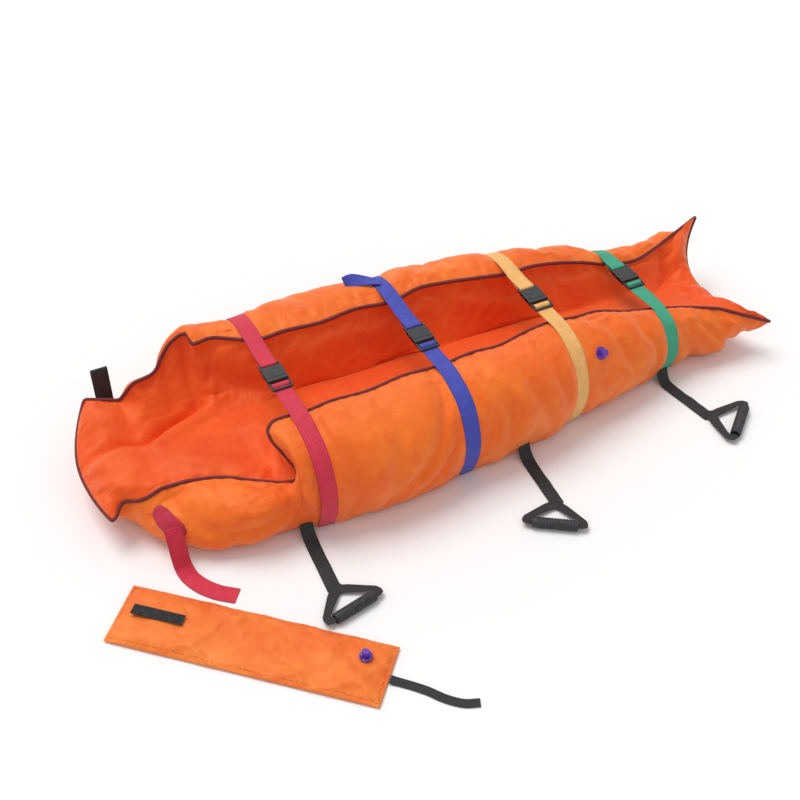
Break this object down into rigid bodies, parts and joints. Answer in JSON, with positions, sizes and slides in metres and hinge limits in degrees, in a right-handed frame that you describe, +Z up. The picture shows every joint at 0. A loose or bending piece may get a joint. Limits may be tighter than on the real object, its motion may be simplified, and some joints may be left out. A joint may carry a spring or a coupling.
{
  "type": "vacuum mattress stretcher",
  "caption": "Orange bead-filled vacuum mattress folded up by coloured buckled straps, with grip handles, valves and a separate flat vacuum splint.",
  "frame": {"origin": "on the floor under the mattress, on its centre line, 72 mm from the blue strap towards the foot end", "axes": "+X from the head end to the foot end along the mattress, +Y to the far side, +Z up"},
  "size_m": [2.1522, 1.5319, 0.2977],
  "materials": {
    "beads": "expanded polystyrene beads",
    "black_web": "woven polyester webbing",
    "blue_web": "woven polyester webbing",
    "buckle": "moulded nylon, fine texture",
    "fabric": "PVC-coated woven fabric, semi-matt",
    "filter": "open-cell filter disc",
    "green_web": "woven polyester webbing",
    "grip": "soft moulded tube",
    "hook": "hook-and-loop tape",
    "inner_fabric": "PVC-coated woven fabric, semi-matt",
    "piping": "welded edge piping",
    "red_web": "woven polyester webbing",
    "valve": "moulded plastic",
    "yellow_web": "woven polyester webbing"
  },
  "bodies": {
    "root": {"base_panel": "fabric", "inner_panel": "inner_fabric", "bead_fill": "beads", "edge_piping": "piping", "mattress_valve_nozzle": "valve", "mattress_valve_filter": "filter", "mattress_valve_tether": "valve", "red_far_web": "red_web", "red_near_web": "red_web", "red_socket": "buckle", "blue_far_web": "blue_web", "blue_near_web": "blue_web", "blue_socket": "buckle", "yellow_far_web": "yellow_web", "yellow_near_web": "yellow_web", "yellow_socket": "buckle", "green_far_web": "green_web", "green_near_web": "green_web", "green_socket": "buckle"},
    "red_plug": {"red_plug": "buckle"},
    "red_right_arm": {"red_right_arm": "buckle"},
    "red_left_arm": {"red_left_arm": "buckle"},
    "blue_plug": {"blue_plug": "buckle"},
    "blue_right_arm": {"blue_right_arm": "buckle"},
    "blue_left_arm": {"blue_left_arm": "buckle"},
    "yellow_plug": {"yellow_plug": "buckle"},
    "yellow_right_arm": {"yellow_right_arm": "buckle"},
    "yellow_left_arm": {"yellow_left_arm": "buckle"},
    "green_plug": {"green_plug": "buckle"},
    "green_right_arm": {"green_right_arm": "buckle"},
    "green_left_arm": {"green_left_arm": "buckle"},
    "near_head_handle_strap": {"near_head_handle_strap": "black_web"},
    "near_head_handle_loop": {"near_head_handle_loop": "black_web"},
    "near_head_handle_grip": {"near_head_handle_grip": "grip"},
    "near_middle_handle_strap": {"near_middle_handle_strap": "black_web"},
    "near_middle_handle_loop": {"near_middle_handle_loop": "black_web"},
    "near_middle_handle_grip": {"near_middle_handle_grip": "grip"},
    "near_foot_handle_strap": {"near_foot_handle_strap": "black_web"},
    "near_foot_handle_loop": {"near_foot_handle_loop": "black_web"},
    "near_foot_handle_grip": {"near_foot_handle_grip": "grip"},
    "far_head_handle_strap": {"far_head_handle_strap": "black_web"},
    "far_head_handle_loop": {"far_head_handle_loop": "black_web"},
    "far_head_handle_grip": {"far_head_handle_grip": "grip"},
    "far_middle_handle_strap": {"far_middle_handle_strap": "black_web"},
    "far_middle_handle_loop": {"far_middle_handle_loop": "black_web"},
    "far_middle_handle_grip": {"far_middle_handle_grip": "grip"},
    "far_foot_handle_strap": {"far_foot_handle_strap": "black_web"},
    "far_foot_handle_loop": {"far_foot_handle_loop": "black_web"},
    "far_foot_handle_grip": {"far_foot_handle_grip": "grip"},
    "head_strap": {"head_strap": "red_web"},
    "drag_tab": {"drag_tab": "black_web"},
    "mattress_valve_cap": {"mattress_valve_cap": "valve"},
    "splint_valve_cap": {"splint_valve_cap": "valve"},
    "splint": {"splint_cover": "fabric", "splint_fill": "beads", "splint_hook_patch": "hook", "splint_valve_nozzle": "valve", "splint_valve_filter": "filter", "splint_valve_tether": "valve"},
    "splint_strap": {"splint_strap": "black_web"}
  },
  "joints": [
    {"name": "splint_lift", "type": "slide", "parent": "root", "child": "splint", "axis": [0, 0, 1], "range_m": [0, 0.3]},
    {"name": "red_plug_slide", "type": "slide", "parent": "root", "child": "red_plug", "axis": [0, -1, 0.0024], "range_m": [0, 0.036], "deforming": ["red_near_web"]},
    {"name": "red_right_arm_squeeze", "type": "hinge", "parent": "red_plug", "child": "red_right_arm", "pos_m": [-0.482, -0.0197, 0.29095], "axis": [0, 0.0024, 1], "range_deg": [0, 6], "stiffness_Nm_per_rad": 0.02},
    {"name": "red_left_arm_squeeze", "type": "hinge", "parent": "red_plug", "child": "red_left_arm", "pos_m": [-0.516, -0.0197, 0.29095], "axis": [0, 0.0024, 1], "range_deg": [-6, 0], "stiffness_Nm_per_rad": 0.02},
    {"name": "blue_plug_slide", "type": "slide", "parent": "root", "child": "blue_plug", "axis": [0, -1, 0], "range_m": [0, 0.036], "deforming": ["blue_near_web"]},
    {"name": "blue_right_arm_squeeze", "type": "hinge", "parent": "blue_plug", "child": "blue_right_arm", "pos_m": [-0.055, -0.0447, 0.29032], "axis": [0, 0, 1], "range_deg": [0, 6], "stiffness_Nm_per_rad": 0.02},
    {"name": "blue_left_arm_squeeze", "type": "hinge", "parent": "blue_plug", "child": "blue_left_arm", "pos_m": [-0.089, -0.0447, 0.29032], "axis": [0, 0, 1], "range_deg": [-6, 0], "stiffness_Nm_per_rad": 0.02},
    {"name": "yellow_plug_slide", "type": "slide", "parent": "root", "child": "yellow_plug", "axis": [0, -1, -0.0001], "range_m": [0, 0.036], "deforming": ["yellow_near_web"]},
    {"name": "yellow_right_arm_squeeze", "type": "hinge", "parent": "yellow_plug", "child": "yellow_right_arm", "pos_m": [0.32, -0.0297, 0.28786], "axis": [0, -0.0001, 1], "range_deg": [0, 6], "stiffness_Nm_per_rad": 0.02},
    {"name": "yellow_left_arm_squeeze", "type": "hinge", "parent": "yellow_plug", "child": "yellow_left_arm", "pos_m": [0.286, -0.0297, 0.28786], "axis": [0, -0.0001, 1], "range_deg": [-6, 0], "stiffness_Nm_per_rad": 0.02},
    {"name": "green_plug_slide", "type": "slide", "parent": "root", "child": "green_plug", "axis": [0, -1, -0.0014], "range_m": [0, 0.036], "deforming": ["green_near_web"]},
    {"name": "green_right_arm_squeeze", "type": "hinge", "parent": "green_plug", "child": "green_right_arm", "pos_m": [0.679, 0.0203, 0.20814], "axis": [0, -0.0014, 1], "range_deg": [0, 6], "stiffness_Nm_per_rad": 0.02},
    {"name": "green_left_arm_squeeze", "type": "hinge", "parent": "green_plug", "child": "green_left_arm", "pos_m": [0.645, 0.0203, 0.20814], "axis": [0, -0.0014, 1], "range_deg": [-6, 0], "stiffness_Nm_per_rad": 0.02},
    {"name": "near_head_handle_lift", "type": "hinge", "parent": "root", "child": "near_head_handle_strap", "pos_m": [-0.556, -0.32568, 0.04], "axis": [-1, 0, 0], "range_deg": [0, 50]},
    {"name": "near_head_loop_fold", "type": "hinge", "parent": "near_head_handle_strap", "child": "near_head_handle_loop", "pos_m": [-0.56479, -0.52145, 0.0066], "axis": [-0.9781, -0.2079, 0], "range_deg": [0, 160]},
    {"name": "near_head_grip_spin", "type": "hinge", "parent": "near_head_handle_loop", "child": "near_head_handle_grip", "pos_m": [-0.54492, -0.61494, 0.01581], "axis": [-0.9781, -0.2079, 0], "continuous": true},
    {"name": "near_middle_handle_lift", "type": "hinge", "parent": "root", "child": "near_middle_handle_strap", "pos_m": [0.112, -0.32072, 0.04], "axis": [-1, 0, 0], "range_deg": [0, 50]},
    {"name": "near_middle_loop_fold", "type": "hinge", "parent": "near_middle_handle_strap", "child": "near_middle_handle_loop", "pos_m": [0.10321, -0.51649, 0.0066], "axis": [-0.8387, 0.5446, 0], "range_deg": [0, 160]},
    {"name": "near_middle_grip_spin", "type": "hinge", "parent": "near_middle_handle_loop", "child": "near_middle_handle_grip", "pos_m": [0.05115, -0.59664, 0.01581], "axis": [-0.8387, 0.5446, 0], "continuous": true},
    {"name": "near_foot_handle_lift", "type": "hinge", "parent": "root", "child": "near_foot_handle_strap", "pos_m": [0.645, -0.22459, 0.04], "axis": [-1, 0, 0], "range_deg": [0, 50]},
    {"name": "near_foot_loop_fold", "type": "hinge", "parent": "near_foot_handle_strap", "child": "near_foot_handle_loop", "pos_m": [0.67706, -0.41751, 0.0066], "axis": [-0.7547, -0.6561, 0], "range_deg": [0, 160]},
    {"name": "near_foot_grip_spin", "type": "hinge", "parent": "near_foot_handle_loop", "child": "near_foot_handle_grip", "pos_m": [0.73976, -0.48964, 0.01581], "axis": [-0.7547, -0.6561, 0], "continuous": true},
    {"name": "far_head_handle_lift", "type": "hinge", "parent": "root", "child": "far_head_handle_strap", "pos_m": [-0.556, 0.3321, 0.04], "axis": [1, 0, 0], "range_deg": [0, 50]},
    {"name": "far_head_loop_fold", "type": "hinge", "parent": "far_head_handle_strap", "child": "far_head_handle_loop", "pos_m": [-0.556, 0.5281, 0.00315], "axis": [1, 0, 0], "range_deg": [-163, 0]},
    {"name": "far_head_grip_spin", "type": "hinge", "parent": "far_head_handle_loop", "child": "far_head_handle_grip", "pos_m": [-0.556, 0.43337, 0.01878], "axis": [1, 0, 0], "continuous": true},
    {"name": "far_middle_handle_lift", "type": "hinge", "parent": "root", "child": "far_middle_handle_strap", "pos_m": [0.112, 0.32072, 0.04], "axis": [1, 0, 0], "range_deg": [0, 50]},
    {"name": "far_middle_loop_fold", "type": "hinge", "parent": "far_middle_handle_strap", "child": "far_middle_handle_loop", "pos_m": [0.112, 0.51672, 0.00315], "axis": [1, 0, 0], "range_deg": [-163, 0]},
    {"name": "far_middle_grip_spin", "type": "hinge", "parent": "far_middle_handle_loop", "child": "far_middle_handle_grip", "pos_m": [0.112, 0.42199, 0.01878], "axis": [1, 0, 0], "continuous": true},
    {"name": "far_foot_handle_lift", "type": "hinge", "parent": "root", "child": "far_foot_handle_strap", "pos_m": [0.61, 0.23389, 0.04], "axis": [1, 0, 0], "range_deg": [0, 50]},
    {"name": "far_foot_loop_fold", "type": "hinge", "parent": "far_foot_handle_strap", "child": "far_foot_handle_loop", "pos_m": [0.61, 0.4299, 0.00315], "axis": [1, 0, 0], "range_deg": [-163, 0]},
    {"name": "far_foot_grip_spin", "type": "hinge", "parent": "far_foot_handle_loop", "child": "far_foot_handle_grip", "pos_m": [0.61, 0.33516, 0.01878], "axis": [1, 0, 0], "continuous": true},
    {"name": "head_strap_lift", "type": "hinge", "parent": "root", "child": "head_strap", "pos_m": [-0.892, -0.25264, 0.115], "axis": [-1, 0, 0], "range_deg": [0, 60]},
    {"name": "drag_tab_fold", "type": "hinge", "parent": "root", "child": "drag_tab", "pos_m": [-0.908, 0.31018, 0.098], "axis": [-1, 0, 0], "range_deg": [0, 80]},
    {"name": "mattress_valve_cap_pull", "type": "slide", "parent": "root", "child": "mattress_valve_cap", "axis": [0.1921, -0.7653, 0.6143], "range_m": [0, 0.016]},
    {"name": "splint_valve_cap_pull", "type": "slide", "parent": "splint", "child": "splint_valve_cap", "axis": [0, 0, 1], "range_m": [0, 0.016]},
    {"name": "splint_strap_lift", "type": "hinge", "parent": "splint", "child": "splint_strap", "pos_m": [-0.55544, -0.84155, 0.006], "axis": [-0.6639, -0.7478, 0], "range_deg": [0, 80]}
  ],
  "couplings": [
    {"joint": "red_left_arm_squeeze", "follows": "red_right_arm_squeeze", "ratio": -1},
    {"joint": "blue_left_arm_squeeze", "follows": "blue_right_arm_squeeze", "ratio": -1},
    {"joint": "yellow_left_arm_squeeze", "follows": "yellow_right_arm_squeeze", "ratio": -1},
    {"joint": "green_left_arm_squeeze", "follows": "green_right_arm_squeeze", "ratio": -1}
  ]
}
